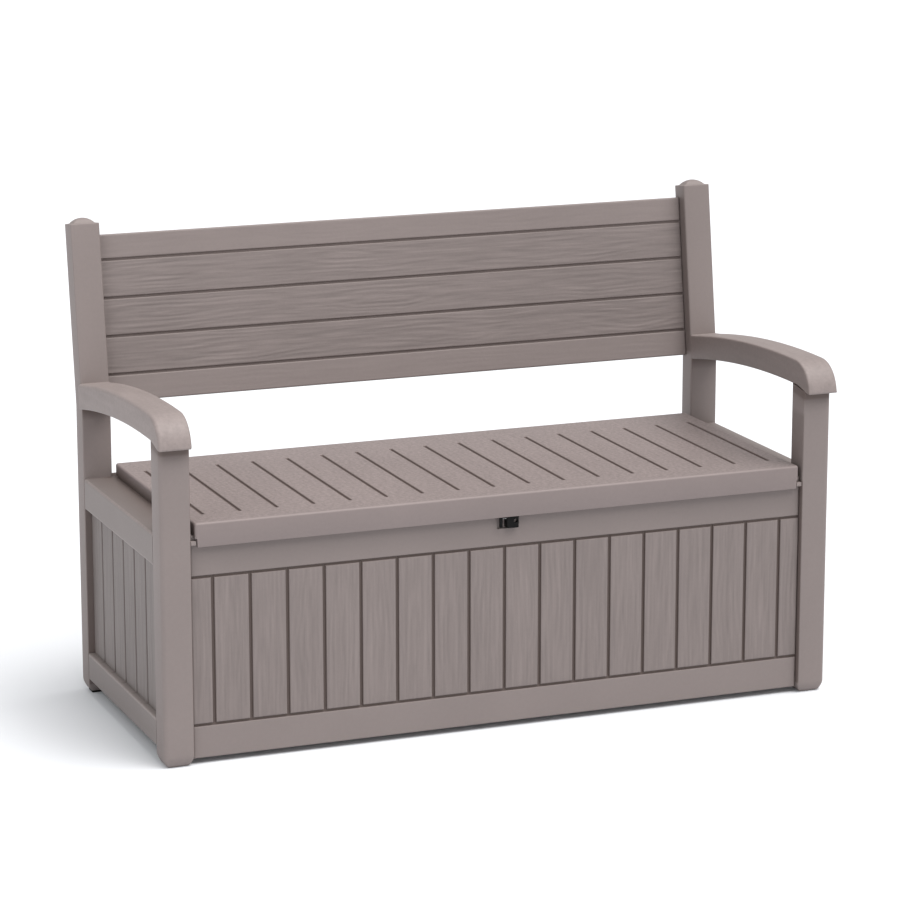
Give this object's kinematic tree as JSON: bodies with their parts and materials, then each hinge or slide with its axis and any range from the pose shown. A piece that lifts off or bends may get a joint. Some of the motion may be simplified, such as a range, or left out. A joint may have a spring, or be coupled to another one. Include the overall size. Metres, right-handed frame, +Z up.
{
  "type": "storage bench",
  "caption": "Outdoor resin storage bench: plank-pattern box with hinged seat lid, arched armrests, leaning plank backrest and padlock eyes.",
  "frame": {"origin": "centre of the footprint of the whole bench, on the ground", "axes": "+Z up, -Y towards the front, where a sitter's legs hang, +X to the right as seen from the front"},
  "size_m": [1.326, 0.6026, 0.908],
  "materials": {
    "resin": "warm grey-taupe moulded resin, matte, fine moulded texture",
    "resin_top": "the same grey-taupe resin, a little lighter and smoother on the seat and arms",
    "resin_wood_grain": "grey-taupe resin moulded with a low wood grain along each plank",
    "resin_inner": "plain grey-taupe resin, ribbed and unpolished inside",
    "black_plastic": "black, satin",
    "steel": "zinc-plated"
  },
  "bodies": {
    "frame": {"front_panel": "resin_wood_grain", "rear_panel": "resin_wood_grain", "left_side_panel": "resin_wood_grain", "right_side_panel": "resin_wood_grain", "floor_panel": "resin_inner", "left_front_leg": "resin", "right_front_leg": "resin", "left_rear_post": "resin", "right_rear_post": "resin", "left_armrest": "resin_top", "right_armrest": "resin_top", "backrest_panel": "resin_wood_grain", "backrest_cover": "resin_inner", "left_hinge_bracket": "resin_inner", "right_hinge_bracket": "resin_inner", "left_hinge_pin": "steel", "right_hinge_pin": "steel", "left_lid_rest": "resin", "right_lid_rest": "resin", "box_lock_eye": "black_plastic", "foot_pads": "black_plastic", "armrest_screws": "steel", "backrest_screws": "steel", "bracket_screws": "steel", "box_lock_screws": "steel"},
    "lid": {"lid_panel": "resin_top", "lid_liner": "resin_inner", "left_hinge_knuckle": "resin_inner", "right_hinge_knuckle": "resin_inner", "lid_lock_eye": "black_plastic", "knuckle_screws": "steel", "lid_lock_screws": "steel"}
  },
  "joints": [
    {"name": "lid_hinge", "type": "hinge", "parent": "frame", "child": "lid", "pos_m": [0, 0.20263, 0.423], "axis": [-1, 0, 0], "range_deg": [0, 91.5]}
  ]
}
